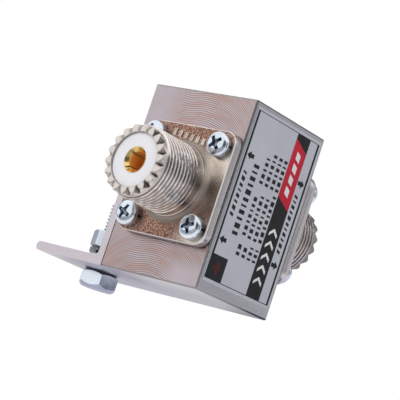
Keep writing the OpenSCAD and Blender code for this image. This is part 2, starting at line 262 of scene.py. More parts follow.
# Cutter marks: equal arcs stepped along Z, as a face mill leaves them, z = step + sqrt(R R - (x - centre)^2)
cutter = {"centre": 0.0101, "radius": 0.0175, "pitch": 0.00043, "wobble": 0.00014, "wobbleScale": 420.0,
    "bandAcross": 0.35, "bandAlong": 2.2, "bandScale": 330.0, "bandEdges": (0.38, 0.62), "facing": (0.85, 0.95)}
tree, millIn, millOut = newGroup("cutterMarks", {}, ("Ridge", "Band", "Facing"))
millGroup = tree
millX, _, millZ = axesOf(tree, millIn["Vector"])
across = minus(tree, millX, cutter["centre"])
inside = larger(tree, minus(tree, cutter["radius"] ** 2, times(tree, across, across)), 0.0)
step = minus(tree, millZ, sums(tree, "SQRT", inside))
drift = minus(tree, noiseOf(tree, millIn["Vector"], cutter["wobbleScale"]), 0.5)
swayed = timesPlus(tree, drift, cutter["wobble"], step)
feed(tree, millOut["Ridge"], ripple(tree, sums(tree, "DIVIDE", swayed, cutter["pitch"])))
bandVector = addNode(tree, "CombineXYZ")
feed(tree, bandVector.inputs["X"], times(tree, across, cutter["bandAcross"]))
feed(tree, bandVector.inputs["Z"], times(tree, step, cutter["bandAlong"]))
bandNoise = noiseOf(tree, bandVector.outputs[0], cutter["bandScale"])
feed(tree, millOut["Band"], spread(tree, bandNoise, *cutter["bandEdges"]))
feed(tree, millOut["Facing"], spread(tree, absolute(tree, normalOf(tree)[1]), *cutter["facing"]))

# Streaks: noise drawn out along Y, the length of the bar that block and angle are cut from
drawn = {"stretch": (1.0, 0.03, 1.0), "scale": 2600.0, "detail": 4.0, "roughness": 0.65,
    "edges": (0.36, 0.64), "share": 0.7}
tree, streakIn, streakOut = newGroup("drawnStreaks", {}, ("Streak",))
streakGroup = tree
stretched = addNode(tree, "VectorMath", operation="MULTIPLY")
feed(tree, stretched.inputs[0], streakIn["Vector"])
feed(tree, stretched.inputs[1], drawn["stretch"])
streakNoise = noiseOf(tree, stretched.outputs[0], drawn["scale"], drawn["detail"], drawn["roughness"])
feed(tree, streakOut["Streak"], spread(tree, streakNoise, *drawn["edges"]))


def startFinish(look):
    # two near tones, roughness and relief all follow the grain group, so no finish is one flat value
    material = bpy.data.materials.new(look["name"])
    material.use_nodes = True
    tree = material.node_tree
    shader = tree.nodes["Principled BSDF"].inputs
    feed(tree, shader["Metallic"], look.get("metallic", 1.0))
    feed(tree, shader["Specular IOR Level"], look.get("gloss", 0.5))
    place = addNode(tree, "TexCoord").outputs["Object"]
    grainNode = useGroup(tree, grainGroup, place)
    for title, scale in zip(grain["scales"], look["grain"]):
        feed(tree, grainNode.inputs[title], scale)
    cloud, speck, mottle = (grainNode.outputs[key] for key in ("Cloud", "Speck", "Mottle"))
    tone = blend(tree, spread(tree, mottle, *grain["toneEdges"]), *look["tones"])
    rough = spread(tree, cloud, *grain["roughEdges"], *look["rough"])
    feed(tree, shader["Base Color"], tone)
    feed(tree, shader["Roughness"], rough)
    bump = addNode(tree, "Bump")
    feed(tree, bump.inputs["Strength"], look.get("bump", 0.3))
    feed(tree, bump.inputs["Distance"], look.get("relief", 0.00001))
    feed(tree, bump.inputs["Height"], speck)
    feed(tree, shader["Normal"], bump.outputs[0])
    return {"material": material, "tree": tree, "shader": shader, "place": place, "cloud": cloud, "speck": speck,
        "tone": tone, "rough": rough, "height": bump.inputs["Height"]}


def streakTone(finish, look):
    streak = useGroup(finish["tree"], streakGroup, finish["place"]).outputs["Streak"]
    return tint(finish["tree"], streak, finish["tone"], (look["streak"], drawn["share"]))


def cutRelief(finish, ridge, facing, speckShare=0.3):
    # marks stand on the cut faces only, over a faint speckle
    tree = finish["tree"]
    faint = times(tree, finish["speck"], speckShare)
    feed(tree, finish["height"], timesPlus(tree, ridge, facing, faint))


def dress(nodeName, material):
    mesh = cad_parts[nodeName].data
    if not mesh.materials:
        mesh.materials.append(material)
    for index in range(len(mesh.materials)):
        mesh.materials[index] = material


# Finishes; at holds the edges of places, in metres or as a turn of the surface
coaxLine = {"x": 0.0113, "z": 0.0247}
blockLook = {"name": "milledAluminium", "tones": ((0.60, 0.60, 0.63), (0.66, 0.66, 0.69)),
    "streak": (0.52, 0.52, 0.555), "grain": (180.0, 3600.0), "rough": (0.32, 0.38), "bump": 0.25,
    "relief": 0.000012, "arcs": ((0.26, 0.18, 0.185), (0.70, 0.63, 0.655)),
    "arcBand": ((0.48, 0.30, 0.25), 0.52), "smooth": ((0.53, 0.48, 0.53), 0.75),
    "corner": ((0.60, 0.54, 0.59), 0.7), "edge": (0.30, 0.28, 0.30)}
at = {"smoothX": (0.0050, -0.0010), "smoothZ": (0.030, 0.037), "cornerX": (0.0120, 0.0175),
    "cornerZ": (0.0105, 0.0065), "edgeTurn": ((0.3, 0.5), (0.95, 0.85))}
block = startFinish(blockLook)
tree = block["tree"]
marks = useGroup(tree, millGroup, block["place"]).outputs
blockX, _, blockZ = axesOf(tree, block["place"])
smoothPart = times(tree, spread(tree, blockX, *at["smoothX"]), spread(tree, blockZ, *at["smoothZ"]))
cornerPart = times(tree, spread(tree, blockX, *at["cornerX"]), spread(tree, blockZ, *at["cornerZ"]))
arcTone = blend(tree, marks["Ridge"], *blockLook["arcs"])
arcTone = tint(tree, marks["Band"], arcTone, blockLook["arcBand"])
arcTone = tint(tree, smoothPart, arcTone, blockLook["smooth"])  # the upper left is nearly free of marks
arcTone = tint(tree, cornerPart, arcTone, blockLook["corner"])
chamferShade = between(tree, absolute(tree, normalOf(tree)[2]), *at["edgeTurn"])  # painted shade: the broken edges are painted darker
blockTone = blend(tree, marks["Facing"], streakTone(block, blockLook), arcTone)
feed(tree, block["shader"]["Base Color"], blend(tree, chamferShade, blockTone, blockLook["edge"]))
cutRelief(block, marks["Ridge"], marks["Facing"])
dress("body_block", block["material"])

bracketLook = {"name": "bracketAluminium", "tones": ((0.64, 0.64, 0.68), (0.72, 0.72, 0.76)),
    "streak": (0.56, 0.56, 0.60), "grain": (200.0, 3600.0), "rough": (0.32, 0.38), "bump": 0.25}
sawn = {"pitch": 0.00034, "alongX": 0.5, "alongZ": 0.86, "wobble": 0.0009,
    "tones": ((0.54, 0.46, 0.49), (0.82, 0.78, 0.85)), "seam": (-0.00370, -0.00358), "seamTone": (0.05, 0.045, 0.05)}
bracket = startFinish(bracketLook)
tree = bracket["tree"]
bracketX, _, bracketZ = axesOf(tree, bracket["place"])
slant = timesPlus(tree, bracketZ, sawn["alongZ"], times(tree, bracketX, sawn["alongX"]))
slant = timesPlus(tree, bracket["cloud"], sawn["wobble"], slant)
sawRidge = ripple(tree, sums(tree, "DIVIDE", slant, sawn["pitch"]))  # saw marks on the cut ends of the angle
cutEnds = useGroup(tree, millGroup, bracket["place"]).outputs["Facing"]
seam = spread(tree, bracketX, *sawn["seam"])  # dark joint line where the leg meets the block
sawTone = blend(tree, seam, blend(tree, sawRidge, *sawn["tones"]), sawn["seamTone"])
feed(tree, bracket["shader"]["Base Color"], blend(tree, cutEnds, streakTone(bracket, bracketLook), sawTone))
cutRelief(bracket, sawRidge, cutEnds)
dress("ground_bracket", bracket["material"])

nickelLook = {"name": "nickelBrass", "tones": ((0.79, 0.74, 0.71), (0.96, 0.91, 0.88)),
    "grain": (240.0, 3000.0), "rough": (0.16, 0.24), "bump": 0.08, "crownRough": 0.05,
    "creviceShade": ((0.17, 0.14, 0.125), 0.9), "crown": ((0.70, 0.635, 0.60), 0.8),
    "backShade": ((0.45, 0.42, 0.41), 0.68), "lowTeethShade": ((0.20, 0.175, 0.165), 0.85)}
at = {"crown": (0.0270, 0.0272), "back": (0.0135, 0.0160), "backTeeth": (0.0262, 0.0272), "low": (0.0310, 0.0190)}
nickel = startFinish(nickelLook)
tree = nickel["tree"]
creviceShade = addNode(tree, "Attribute", attribute_name="shade").outputs["Fac"]
_, nickelY, nickelZ = axesOf(tree, nickel["place"])
onCrown = spread(tree, absolute(tree, nickelY), *at["crown"])
nickelTone = tint(tree, onCrown, nickel["tone"], nickelLook["crown"])  # milled teeth are duller
# painted shade: the back socket's nickel is darker
nickelTone = tint(tree, spread(tree, nickelY, *at["back"]), nickelTone, nickelLook["backShade"])
# painted shade on the lower teeth of the back crown
lowTeethShade = times(tree, spread(tree, nickelY, *at["backTeeth"]), spread(tree, nickelZ, *at["low"]))
nickelTone = tint(tree, lowTeethShade, nickelTone, nickelLook["lowTeethShade"])
# painted shade from the shade attribute: thread roots, crown notches, bore mouth and the bead at the barrel's foot
feed(tree, nickel["shader"]["Base Color"], tint(tree, creviceShade, nickelTone, nickelLook["creviceShade"]))
nickelRough = timesPlus(tree, onCrown, nickelLook["crownRough"], nickel["rough"])
feed(tree, nickel["shader"]["Roughness"], nickelRough)

castLook = {"name": "castNickel", "tones": ((0.16, 0.077, 0.055), (0.47, 0.272, 0.20)),
    "grain": (120.0, 3000.0), "rough": (0.30, 0.44), "bump": 0.8, "relief": 0.00004,
    "speckEdges": (0.36, 0.62), "gritEdges": (0.58, 0.66), "grit": ((0.70, 0.58, 0.51), 0.6),
    "foot": ((0.46, 0.41, 0.37), 0.9), "footRough": 0.28, "sheenRough": -0.12, "barrelReflectionShare": 0.85,
    "beige": (0.88, 0.80, 0.70), "shadow": (0.46, 0.39, 0.34), "brown": (0.36, 0.27, 0.225),
    "rim": (0.58, 0.56, 0.57), "rimBackLit": (0.72, 0.70, 0.73), "edge": (0.86, 0.82, 0.80),
    "edgeDull": 0.75, "joint": (0.035, 0.033, 0.035), "backJoint": 0.45}
at = {"sway": 0.009, "bare": (0.0150, 0.0195), "bareTop": (0.0350, 0.0315), "foot": (0.0096, 0.0086),
    "barrelReflectionSway": 0.45, "beige": (0.0246, 0.0284), "brown": (0.0222, 0.0195), "beigeLow": (0.0152, 0.0134),
    "rim": (0.0112, 0.0118), "front": (0.001, -0.001), "jointFront": (-0.01250, -0.01232),
    "jointBack": (0.01416, 0.01402), "edgeTurn": ((0.15, 0.35), (0.97, 0.90)), "wallTurn": (0.35, 0.15)}
cast = startFinish(castLook)
tree = cast["tree"]
castX, castY, castZ = axesOf(tree, cast["place"])
castSide = minus(tree, castX, coaxLine["x"])
castLift = minus(tree, castZ, coaxLine["z"])
castTone = blend(tree, spread(tree, cast["speck"], *castLook["speckEdges"]), *castLook["tones"])
castTone = tint(tree, spread(tree, cast["speck"], *castLook["gritEdges"]), castTone, castLook["grit"])
footRing = spread(tree, fromLine(tree, castSide, castLift), *at["foot"])
castTone = tint(tree, footRing, castTone, castLook["foot"])  # the fillet is dull
sway = times(tree, minus(tree, cast["cloud"], 0.5), at["sway"])
bareSide = spread(tree, sums(tree, "ADD", castX, sway), *at["bare"])
sheen = times(tree, bareSide, spread(tree, sums(tree, "ADD", castZ, sway), *at["bareTop"]))
# painted reflection of the barrel: beige, brown and beige bands by height over the bare part
barrelReflectionHeight = timesPlus(tree, sway, at["barrelReflectionSway"], castZ)
barrelReflection = castLook["shadow"]
for place, tone in (("beige", "beige"), ("brown", "brown"), ("beigeLow", "beige")):
    barrelReflection = blend(tree, spread(tree, barrelReflectionHeight, *at[place]), barrelReflection, castLook[tone])
castTone = tint(tree, sheen, castTone, (barrelReflection, castLook["barrelReflectionShare"]))  # the bare right part is grey and shinier, with a painted reflection of the barrel
castRough = timesPlus(tree, sheen, castLook["sheenRough"], cast["rough"])
feed(tree, cast["shader"]["Roughness"], timesPlus(tree, footRing, castLook["footRough"], castRough))
castFacing = absolute(tree, normalOf(tree)[1])
rimReach = larger(tree, absolute(tree, castSide), absolute(tree, castLift))
onRim = spread(tree, rimReach, *at["rim"])
# painted highlight: a pale line on the flange's rounded edge, less metallic so it stays light
edgeHighlight = times(tree, onRim, between(tree, castFacing, *at["edgeTurn"]))
sideWall = times(tree, onRim, spread(tree, castFacing, *at["wallTurn"]))
frontHalf = spread(tree, castY, *at["front"])
backHalf = timesPlus(tree, frontHalf, -castLook["backJoint"], castLook["backJoint"])
jointFront = times(tree, frontHalf, spread(tree, castY, *at["jointFront"]))
jointBack = times(tree, backHalf, spread(tree, castY, *at["jointBack"]))
joint = times(tree, onRim, larger(tree, jointFront, jointBack))  # dark line where flange meets block
# painted light: the back flange's side walls are a lighter grey than the front's
castTone = blend(tree, sideWall, castTone, blend(tree, frontHalf, castLook["rimBackLit"], castLook["rim"]))
castTone = blend(tree, edgeHighlight, castTone, castLook["edge"])
feed(tree, cast["shader"]["Base Color"], blend(tree, joint, castTone, castLook["joint"]))
feed(tree, cast["shader"]["Metallic"], minus(tree, 1.0, times(tree, edgeHighlight, castLook["edgeDull"])))

zincLook = {"name": "zincSteel", "tones": ((0.65, 0.73, 0.83), (0.83, 0.90, 0.98)), "grain": (500.0, 4200.0),
    "rough": (0.12, 0.22), "bump": 0.12, "recess": ((0.13, 0.155, 0.22), 0.8),
    "jointShadeTone": (0.045, 0.045, 0.05), "shankShade": 0.75, "nutShade": 0.85}
at = {"shankX": -0.0146, "shankY": 0.0009, "head": ((0.00362, 0.00368), (0.0062, 0.0060)),
    "headReach": (0.00385, 0.00372), "shank": ((0.0058, 0.0060), (0.0096, 0.0090)), "shankReach": (0.00266, 0.00260),
    "nut": ((0.00884, 0.00886), (0.00925, 0.00910)), "nutReach": ((0.0030, 0.0034), (0.0060, 0.0056))}
zinc = startFinish(zincLook)
tree = zinc["tree"]
zincX, zincY, zincZ = axesOf(tree, zinc["place"])
shankSide, shankDepth = minus(tree, zincX, at["shankX"]), minus(tree, zincY, at["shankY"])
fromShank = fromLine(tree, shankSide, shankDepth)
underHead = times(tree, between(tree, zincZ, *at["head"]), spread(tree, fromShank, *at["headReach"]))
bareShank = times(tree, between(tree, zincZ, *at["shank"]), spread(tree, fromShank, *at["shankReach"]))
nutFoot = times(tree, between(tree, zincZ, *at["nut"]), between(tree, fromShank, *at["nutReach"]))
jointShade = larger(tree, underHead, times(tree, bareShank, zincLook["shankShade"]))  # painted shade, dark in the joints: under the bolt head, on the bare shank and at the nut's foot
jointShade = larger(tree, jointShade, times(tree, nutFoot, zincLook["nutShade"]))
# painted shade from the shade attribute: the screws' cross recesses and the bolt's thread
recess = addNode(tree, "Attribute", attribute_name="shade").outputs["Fac"]
zincTone = tint(tree, recess, zinc["tone"], zincLook["recess"])
feed(tree, zinc["shader"]["Base Color"], blend(tree, jointShade, zincTone, zincLook["jointShadeTone"]))
satin = startFinish({"name": "satinZinc", "metallic": 0.7, "tones": ((0.60, 0.62, 0.64), (0.74, 0.76, 0.78)),
    "grain": (500.0, 4200.0), "rough": (0.42, 0.52), "bump": 0.15})

goldLook = {"name": "goldBrass", "tones": ((0.85, 0.56, 0.18), (1.0, 0.78, 0.36)), "grain": (600.0, 4000.0),
    "rough": (0.14, 0.24), "bump": 0.1, "bore": (1.0, 0.50, 0.105), "boreAt": (0.0022, 0.0020),
    "boreDull": 0.7, "boreRough": 0.3}
gold = startFinish(goldLook)
tree = gold["tree"]
goldX, _, goldZ = axesOf(tree, gold["place"])
goldSide, goldLift = minus(tree, goldX, coaxLine["x"]), minus(tree, goldZ, coaxLine["z"])
inBore = spread(tree, fromLine(tree, goldSide, goldLift), *goldLook["boreAt"])  # painted light: the bore is a dull amber, mostly not metallic, so it shows light deep inside
feed(tree, gold["shader"]["Base Color"], blend(tree, inBore, gold["tone"], goldLook["bore"]))
feed(tree, gold["shader"]["Metallic"], minus(tree, 1.0, times(tree, inBore, goldLook["boreDull"])))
feed(tree, gold["shader"]["Roughness"], timesPlus(tree, inBore, goldLook["boreRough"], gold["rough"]))
for nodeName in ("antenna_contact", "equipment_contact"):
    dress(nodeName, gold["material"])

metalGrain = {"grain": (300.0, 3600.0), "rough": (0.22, 0.36)}
plainLooks = {
    # spring-steel lock washers, darkened further as painted shade under the screw heads
    ("bracket_lock_washers", "antenna_lock_washers", "equipment_lock_washers"): {
        "name": "shadedSpringSteel", "tones": ((0.26, 0.28, 0.32), (0.48, 0.51, 0.56)),
        "grain": (500.0, 4200.0), "rough": (0.20, 0.32), "bump": 0.15},
    ("antenna_insulator", "equipment_insulator"): {
        "name": "whiteInsulator", "metallic": 0.0, "tones": ((0.90, 0.90, 0.95), (0.95, 0.95, 0.99)),
        "grain": (220.0, 2600.0), "rough": (0.34, 0.46), "bump": 0.15},
    ("centre_conductor",): {
        "name": "bareCopper", **metalGrain, "tones": ((0.70, 0.32, 0.20), (0.90, 0.50, 0.34))},
    ("tube_saddle", "ground_seat"): {
        "name": "plainBrass", **metalGrain, "tones": ((0.60, 0.44, 0.18), (0.78, 0.60, 0.28))},
    ("tube_ceramic",): {
        "name": "whiteCeramic", "metallic": 0.0, "tones": ((0.72, 0.70, 0.66), (0.82, 0.80, 0.76)),
        "grain": (260.0, 2600.0), "rough": (0.30, 0.50)},
    ("tube_electrodes",): {
        "name": "tinnedMetal", **metalGrain, "tones": ((0.60, 0.60, 0.60), (0.74, 0.74, 0.73)),
        "rough": (0.26, 0.40)},
    ("rating_label",): {
        "name": "silverLabel", "metallic": 0.0, "tones": ((0.475, 0.486, 0.550), (0.515, 0.526, 0.590)),
        "grain": (150.0, 5200.0), "rough": (0.38, 0.46), "bump": 0.12},
}
for nodeNames, look in plainLooks.items():
    finish = startFinish(look)
    for nodeName in nodeNames:
        dress(nodeName, finish["material"])
inkLook = {"metallic": 0.0, "gloss": 0.2, "grain": (200.0, 4000.0), "rough": (0.40, 0.52), "bump": 0.1}
inkTones = {"blackInk": ((0.012, 0.012, 0.014), (0.022, 0.022, 0.026)),
    "redInk": ((0.46, 0.014, 0.036), (0.56, 0.024, 0.050)),
    "paleInk": ((0.70, 0.70, 0.72), (0.78, 0.78, 0.80)), "dimRedInk": ((0.055, 0.012, 0.014), (0.075, 0.016, 0.018))}
inks = {name: startFinish({**inkLook, "name": name, "tones": tones})["material"] for name, tones in inkTones.items()}
print("finishes ready")


# Coax sockets: barrel, thread and toothed crown in one turned surface, and the cast flange

socket = {"x": 11.3, "z": 24.7, "barrel": 7.94, "bore": 5.9, "crown": 7.6, "crownLength": 1.6, "neck": 7.64,
    "teeth": 18, "toothPoints": 20, "notchDepth": 1.1, "notchWidth": 2.25, "land": 0.25, "creviceShadeWidth": 0.75,
    "flange": 24.8, "flangeThick": 2.5, "corner": 3.0, "edge": 0.3, "fillet": 1.0, "hole": 7.8,
    "pitch": 1.058, "threadDepth": 0.48, "crest": 0.44, "root": 0.08, "threadRings": 215, "floor": 0.3,
    "foot": ((7.94, 3.72, 0), (7.94, 3.66, 0), (7.90, 3.62, 0.5), (7.98, 3.55, 0), (8.00, 3.48, 0),
        (7.96, 3.40, 0), (7.70, 3.36, 0), (7.70, 0.3, 0))}  # radius, distance from the block, painted shade


def roundSquare(angle, inset):
    # a ray at each angle meets either a straight side, half / cos, or the corner circle
    half, core = socket["flange"] / 2 - inset, socket["flange"] / 2 - socket["corner"]
    bend = socket["corner"] - inset
    c, s = np.abs(np.cos(angle)), np.abs(np.sin(angle))
    flat = half / np.maximum(c, s)
    toward = core * (c + s)
    bent = toward + np.sqrt(np.maximum(toward ** 2 - 2 * core ** 2 + bend ** 2, 0))
    return np.where(flat * np.minimum(c, s) <= core, flat, bent)


def socketBarrel(reach, way, smoothEnd):
    # rings of radius, distance and painted shade: up the bore, over the crown, down the thread and the smooth band
    bore, crown, neck = socket["bore"], socket["crown"], socket["neck"]
    angle = fullTurn(socket["teeth"] * socket["toothPoints"])
    pitchAngle = 2 * pi / socket["teeth"]
    aside = np.abs(crown * np.sin(angle - np.round(angle / pitchAngle) * pitchAngle))
    # painted shade along the bottom of each notch
    creaseShade = 0.9 * np.clip(1 - aside / socket["creviceShadeWidth"], 0, 1)

    def crownTop(radius):
        # a notch is a V that starts at a point on the land and deepens outwards
        run = (radius - bore - socket["land"]) / (crown - bore - socket["land"])
        return reach - np.maximum(socket["notchDepth"] * (run - aside / (socket["notchWidth"] / 2)), 0)

    crownFoot = reach - socket["crownLength"]
    rings = [(bore, socket["floor"], 0), (bore, 6.0, 0), (bore, crownFoot - 0.3, 0.5)]
    rings += [(bore, crownTop(bore) - 0.10, 0.6), (bore + 0.06, crownTop(bore + 0.06) - 0.02, 0.2)]
    rings += [(r, crownTop(r), creaseShade) for r in np.linspace(bore + 0.2, crown - 0.15, 8)]
    rings += [(crown - 0.06, crownTop(crown - 0.06) - 0.02, creaseShade), (crown, crownTop(crown) - 0.10, 0)]
    rings += [(crown, crownFoot + 0.12, 0), (crown, crownFoot + 0.04, 0), (neck, crownFoot, 0)]
    for a in np.linspace(crownFoot - 0.02, smoothEnd - 0.5, socket["threadRings"]):
        fade = easeStep(smoothEnd - 0.4, smoothEnd + 0.5, a)
        lead = neck + 0.30 * (1 - easeStep(crownFoot - 0.35, crownFoot, a))
        wave = threadWave(a / socket["pitch"] + way * angle / (2 * pi), socket["crest"], socket["root"])
        radius = np.minimum(socket["barrel"] - wave * socket["threadDepth"] * fade, lead)
        rings.append((radius, a, easeStep(0.08, 0.6, wave) * fade))
    rings += socket["foot"]
    radius, along, shadeRows = ringArrays(rings, angle)
    return turned(radius, along, angle[None, :]), shadeRows


def socketFlange():
    # a round hole, the fillet at the barrel's foot, then the plate's outline at several depths, its edge rounded
    angle = fullTurn(288)
    edge, thick, fillet, hole = (socket[key] for key in ("edge", "flangeThick", "fillet", "hole"))
    foot, top = socket["barrel"] + fillet, thick + fillet
    rings = [(hole, top - 0.1), (hole + 0.13, top)]
    rings += [(foot - fillet * cos(q), top - fillet * sin(q)) for q in np.linspace(0.08, pi / 2, 9)]
    rings += [(9.4, thick), (10.2, thick)]
    rows = [(edge * (1 - sin(q)), thick - edge * (1 - cos(q))) for q in np.linspace(0, pi / 2, 5)]
    rows += [(0, 0.15), (0.12, 0.0)]
    rings += [(roundSquare(angle, inset), depth) for inset, depth in rows] + [(hole, 0.0)]
    radius, along = ringArrays(rings, angle)
    return turned(radius, along, angle[None, :])


def socketPlace(shape, face, way):
    side, lift, along = shape
    return np.stack([socket["x"] + side, face + way * along, socket["z"] + lift], axis=-1)


socketEnds = {"antenna": {"face": -11.9, "way": -1, "reach": 16.8, "smoothEnd": 5.2},
    "equipment": {"face": 13.7, "way": 1, "reach": 15.0, "smoothEnd": 4.3}}
for title, end in socketEnds.items():
    shape, shadeRows = socketBarrel(end["reach"], end["way"], end["smoothEnd"])
    barrelGrid = socketPlace(shape, end["face"], end["way"])
    flangeGrid = socketPlace(socketFlange(), end["face"], end["way"])
    surfacePiece(title + "Barrel", [(barrelGrid, True, True)], nickel["material"], "arrestor",
        [title + "_socket"], sharp=28, shade=shadeRows)
    surfacePiece(title + "Flange", [(flangeGrid, True, True)], cast["material"], "arrestor",
        [title + "_socket"], sharp=40)


# Raised pads cast on each flange above the barrel: a plain row of six, slightly aslant
padRow = {"from": (6.9, 35.05), "step": (1.66, -0.22), "count": 6, "half": (0.46, 0.72),
    "slant": -7.5, "high": 0.14, "sunk": 0.05}
# the pads are a lighter tone than the flange
palePad = startFinish({"name": "palePadNickel", "tones": ((0.46, 0.37, 0.32), (0.74, 0.65, 0.59)),
    "grain": (300.0, 3000.0), "rough": (0.28, 0.40), "bump": 0.4, "relief": 0.00003})


def padOutline(index, way):
    # a small rectangle about its middle, turned by the slant; way mirrors the row for the back socket
    a, b = padRow["half"]
    corner = np.array([(-a, -b), (a, -b), (a, b), (-a, b)])
    turn = radians(padRow["slant"])
    turnBy = np.array([(cos(turn), sin(turn)), (-sin(turn), cos(turn))])
    spot = corner @ turnBy + np.array(padRow["from"]) + index * np.array(padRow["step"])
    spot[:, 0] = socket["x"] - way * (spot[:, 0] - socket["x"])
    return spot


for title, end in socketEnds.items():
    way = end["way"]
    padFace = end["face"] + way * socket["flangeThick"]
    levels = sorted((padFace - way * padRow["sunk"], padFace + way * padRow["high"]))
    outlines = [padOutline(i, way) for i in range(padRow["count"])]
    prismPiece(title + "FlangePads", outlines, *levels, 1, palePad["material"], "nickel_brass", "arrestor")
print("sockets turned")


# Pan-head screws with a cross recess

screw = {"head": 2.7, "headHigh": 1.8, "headSide": 0.8, "domePower": 3.2, "shank": 1.45, "tip": 1.2, "armLong": 1.72,
    "armHalf": 0.46, "armTaper": 0.08, "wall": 0.14, "deep": 1.25, "shallow": 0.60, "hub": 0.80, "darkAt": 0.5,
    "corner": 9.0, "clear": 0.02, "under": ((2.7, 0.25), (2.64, 0.06), (2.5, 0.0))}


def panScrew(shankLength, turn):
    # the head is a flattened dome less a cross, whose depth falls from the hub to the arm ends, with sloping walls
    angle = fullTurn(128)[None, :]
    radius = np.concatenate([np.linspace(0, 1.95, 34), np.linspace(2.03, screw["head"], 10)])[:, None]
    u, v = np.abs(radius * np.cos(angle - turn)), np.abs(radius * np.sin(angle - turn))
    armLong, outward = screw["armLong"], radius / screw["armLong"]
    taper = screw["armHalf"] - screw["armTaper"] * outward
    cross = np.minimum(np.maximum(u - armLong, v - taper), np.maximum(v - armLong, u - taper))
    cross = np.minimum(cross, radius - screw["hub"])
    depth = screw["deep"] + (screw["shallow"] - screw["deep"]) * np.clip(outward, 0, 1)
    sink = np.clip(-cross / screw["wall"], 0, 1) * depth
    rise = np.sqrt(np.maximum(1 - (radius / screw["head"]) ** screw["domePower"], 0))
    dome = screw["headSide"] + (screw["headHigh"] - screw["headSide"]) * rise
    under = [*screw["under"], (screw["shank"], 0.0), (screw["shank"], 0.3 - shankLength),
        (screw["tip"], -shankLength), (0.0, -shankLength)]
    radiusAll = np.concatenate([radius * np.ones_like(angle)] + [np.full_like(angle, r) for r, h in under])
    heightAll = np.concatenate([dome - sink] + [np.full_like(angle, h) for r, h in under])
    # painted shade in the cross recess, growing with its depth
    dark = np.concatenate([np.clip(sink / screw["darkAt"], 0, 1), np.zeros((len(under), angle.size))])
    return turned(radiusAll, heightAll, angle), dark


def screwGroup(name, node, spots, out, shankLength, turns):
    # out is the way the heads face; the screw's own side and lift axes are set square to it
    out = np.array(out, float)
    lift = np.array([0.0, 0.0, 1.0])
    side = np.cross(lift, out)
    grids, darks = [], []
    for spot, turn in zip(spots, turns):
        (a, b, h), dark = panScrew(shankLength, radians(turn))
        grid = np.array(spot) + a[..., None] * side + b[..., None] * lift + h[..., None] * out
        grids.append((grid, False, True))
        darks.append(dark.ravel())
    surfacePiece(name, grids, zinc["material"], "arrestor", [node], sharp=30,
        shade=np.concatenate(darks))


def screwReach(node):
    low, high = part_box(node)
    return np.array(low) / mm, np.array(high) / mm


for title, turns in (("antenna", (12, 38, 66, 20)), ("equipment", (30, 5, 52, 71))):
    way, node = socketEnds[title]["way"], title + "_screws"
    low, high = screwReach(node)
    seat = low[1] + screw["headHigh"] if way < 0 else high[1] - screw["headHigh"]
    spots = [(socket["x"] + s * screw["corner"], seat, socket["z"] + l * screw["corner"])
        for s, l in ((-1, 1), (1, 1), (-1, -1), (1, -1))]
    shankLength = high[1] - low[1] - screw["headHigh"] - screw["clear"]
    screwGroup(title + "ScrewHeads", node, spots, (0, way, 0), shankLength, turns)
low, high = screwReach("bracket_screws")
ends = (low[1] + screw["head"], high[1] - screw["head"])
spots = [(low[0] + screw["headHigh"], y, (low[2] + high[2]) / 2) for y in ends]
shankLength = high[0] - low[0] - screw["headHigh"] - screw["clear"]
screwGroup("bracketScrewHeads", "bracket_screws", spots, (-1, 0, 0), shankLength, (25, 58))
print("screws made")


# Ground bolt, split washer and nut

bolt = {"x": -14.6, "y": 0.9, "flats": 8.0, "cornerEase": 0.02, "points": 180, "headTurn": 17.0, "headHigh": 3.65,
    "lowCone": (3.46, 1.25), "highCone": (3.80, 1.7), "washerFace": 4.0, "washer": 3.68, "shank": 2.5,
    "end": 19.6, "pitch": 0.8, "depth": 0.42, "crest": 0.14, "root": 0.10, "threadFrom": 7.2, "threadRings": 168,
    "dish": ((0.0, 0.06), (1.6, 0.06), (2.4, 0.05), (2.9, 0.0), (3.40, 0.0))}
nut = {"low": 8.86, "high": 12.86, "turn": 26.3, "bore": 2.56, "mouth": 2.95, "mouthDeep": 0.4, "face": 3.70,
    "cone": (3.76, 1.7), "side": 1.4}
spring = {"outer": 4.15, "inner": 2.7, "thick": 1.2, "low": 6.03, "rise": 1.6, "split": 225.0, "gap": 0.7,
    "steps": 121, "barPoints": 32, "barPower": 0.22, "endShare": 0.97}


def hexRing(turn):
    # angles, and distance to the flats: half the width over cos of the angle from a flat's middle, corners eased
    angle = radians(turn) + fullTurn(bolt["points"])
    fromCorner = (angle - radians(turn)) % (pi / 3)
    half = bolt["flats"] / 2
    return angle, np.minimum(half / np.cos(fromCorner - pi / 6), half / cos(pi / 6) - bolt["cornerEase"])


def coned(side, cone, distance):
    # the hexagon is cut back to a cone that widens with the distance from its end
    start, slope = cone
    return np.minimum(side, start + distance * slope)


def boltPlace(radius, along, angle):
    side, lift, along = turned(radius, along, angle)
    return np.stack([bolt["x"] + side, bolt["y"] + lift, along], axis=-1)


def stackRings(rings, angle):
    radius, along = ringArrays(rings, angle)
    return boltPlace(radius, along, angle[None, :])


